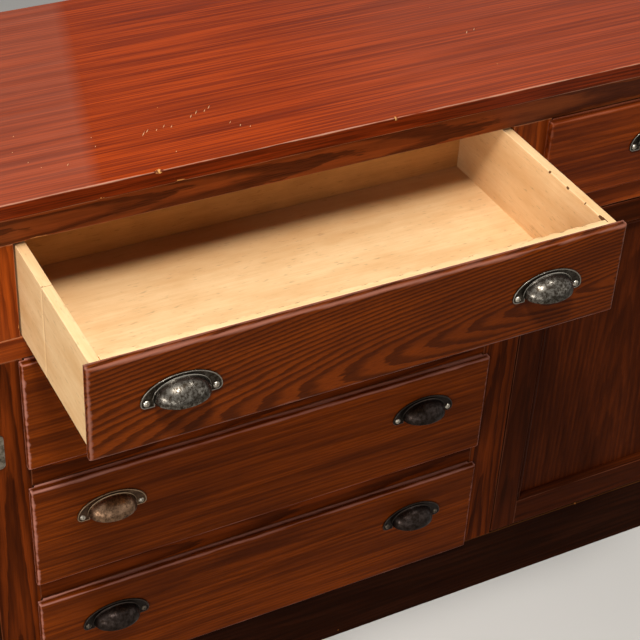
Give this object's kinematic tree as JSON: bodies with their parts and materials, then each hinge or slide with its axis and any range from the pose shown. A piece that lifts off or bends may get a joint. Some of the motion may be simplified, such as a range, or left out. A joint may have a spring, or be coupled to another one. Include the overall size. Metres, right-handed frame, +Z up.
{
  "type": "kitchen hutch base cabinet",
  "caption": "Low wooden sideboard base with lipped drawers on cup pulls between panelled cupboard doors, a face frame and a plank worktop.",
  "frame": {"origin": "middle of the face frame's front bottom edge, on the floor", "axes": "+X to the right along the front, +Y from the front into the cabinet, +Z up; drawers open towards -Y"},
  "size_m": [1.54, 0.6353, 0.872],
  "materials": {
    "varnished_worktop": "glossy varnish over a red-brown stain, worn at the front edge",
    "stained_pine": "red-brown stain and satin varnish on pine",
    "raw_pine": "bare planed pine",
    "back_boarding": "bare boards, darkened",
    "aged_pewter": "cast metal with a pewter finish, aged and mottled brown",
    "screw_steel": "dulled steel",
    "hinge_iron": "tarnished brass",
    "latch_iron": "cast metal, aged to match the pulls"
  },
  "bodies": {
    "cabinet": {"worktop": "varnished_worktop", "side_panels": "stained_pine", "partitions": "raw_pine", "bottom_boards": "raw_pine", "back_boards": "back_boarding", "top_rail": "stained_pine", "mid_rail": "stained_pine", "bottom_rail": "stained_pine", "outer_stiles": "stained_pine", "short_stiles": "stained_pine", "long_stiles": "stained_pine", "drawer_rails": "stained_pine", "drawer_runners": "raw_pine", "drawer_guides": "raw_pine", "shelves": "raw_pine", "cleats": "raw_pine", "door_stops": "raw_pine", "hinge_frame_leaves": "hinge_iron", "latch_keepers": "latch_iron", "frame_screws": "screw_steel"},
    "top_drawer": {"top_drawer_front": "stained_pine", "top_drawer_sides": "raw_pine", "top_drawer_back": "raw_pine", "top_drawer_bottom": "raw_pine", "top_drawer_pulls": "aged_pewter", "top_drawer_pull_screws": "screw_steel"},
    "left_drawer": {"left_drawer_front": "stained_pine", "left_drawer_box": "raw_pine", "left_drawer_pulls": "aged_pewter", "left_drawer_pull_screws": "screw_steel"},
    "right_drawer": {"right_drawer_front": "stained_pine", "right_drawer_box": "raw_pine", "right_drawer_pulls": "aged_pewter", "right_drawer_pull_screws": "screw_steel"},
    "second_drawer": {"second_drawer_front": "stained_pine", "second_drawer_box": "raw_pine", "second_drawer_pulls": "aged_pewter", "second_drawer_pull_screws": "screw_steel"},
    "third_drawer": {"third_drawer_front": "stained_pine", "third_drawer_box": "raw_pine", "third_drawer_pulls": "aged_pewter", "third_drawer_pull_screws": "screw_steel"},
    "bottom_drawer": {"bottom_drawer_front": "stained_pine", "bottom_drawer_box": "raw_pine", "bottom_drawer_pulls": "aged_pewter", "bottom_drawer_pull_screws": "screw_steel"},
    "left_door": {"door_left_frame": "stained_pine", "door_left_panel": "stained_pine", "door_left_hinge_leaves": "hinge_iron", "door_left_screws": "screw_steel", "latch_left_case": "latch_iron"},
    "left_latch_turn": {"latch_left_turn": "latch_iron"},
    "left_latch_bolt": {"latch_left_bolt": "latch_iron"},
    "right_door": {"door_right_frame": "stained_pine", "door_right_panel": "stained_pine", "door_right_hinge_leaves": "hinge_iron", "door_right_screws": "screw_steel", "latch_right_case": "latch_iron"},
    "right_latch_turn": {"latch_right_turn": "latch_iron"},
    "right_latch_bolt": {"latch_right_bolt": "latch_iron"}
  },
  "joints": [
    {"name": "top_drawer_slide", "type": "slide", "parent": "cabinet", "child": "top_drawer", "axis": [0, -1, 0], "range_m": [-0.216, 0.044]},
    {"name": "left_drawer_slide", "type": "slide", "parent": "cabinet", "child": "left_drawer", "axis": [0, -1, 0], "range_m": [0, 0.26]},
    {"name": "right_drawer_slide", "type": "slide", "parent": "cabinet", "child": "right_drawer", "axis": [0, -1, 0], "range_m": [0, 0.26]},
    {"name": "second_drawer_slide", "type": "slide", "parent": "cabinet", "child": "second_drawer", "axis": [0, -1, 0], "range_m": [0, 0.26]},
    {"name": "third_drawer_slide", "type": "slide", "parent": "cabinet", "child": "third_drawer", "axis": [0, -1, 0], "range_m": [0, 0.26]},
    {"name": "bottom_drawer_slide", "type": "slide", "parent": "cabinet", "child": "bottom_drawer", "axis": [0, -1, 0], "range_m": [0, 0.26]},
    {"name": "left_door_hinge", "type": "hinge", "parent": "cabinet", "child": "left_door", "pos_m": [-0.695, -0.0036, 0.378], "axis": [0, 0, -1], "range_deg": [0, 105]},
    {"name": "left_latch_turning", "type": "hinge", "parent": "left_door", "child": "left_latch_turn", "pos_m": [-0.387, -0.016, 0.525], "axis": [0, 1, 0], "range_deg": [0, 93]},
    {"name": "left_latch_bolt_slide", "type": "slide", "parent": "left_door", "child": "left_latch_bolt", "axis": [1, 0, 0], "range_m": [0, 0.009]},
    {"name": "right_door_hinge", "type": "hinge", "parent": "cabinet", "child": "right_door", "pos_m": [0.695, -0.0036, 0.378], "axis": [0, 0, 1], "range_deg": [0, 105]},
    {"name": "right_latch_turning", "type": "hinge", "parent": "right_door", "child": "right_latch_turn", "pos_m": [0.387, -0.016, 0.525], "axis": [0, -1, 0], "range_deg": [0, 93]},
    {"name": "right_latch_bolt_slide", "type": "slide", "parent": "right_door", "child": "right_latch_bolt", "axis": [-1, 0, 0], "range_m": [0, 0.009]}
  ],
  "couplings": [
    {"joint": "left_latch_turning", "follows": "left_latch_bolt_slide", "rad_per_m": 174.53},
    {"joint": "right_latch_turning", "follows": "right_latch_bolt_slide", "rad_per_m": 174.53}
  ]
}
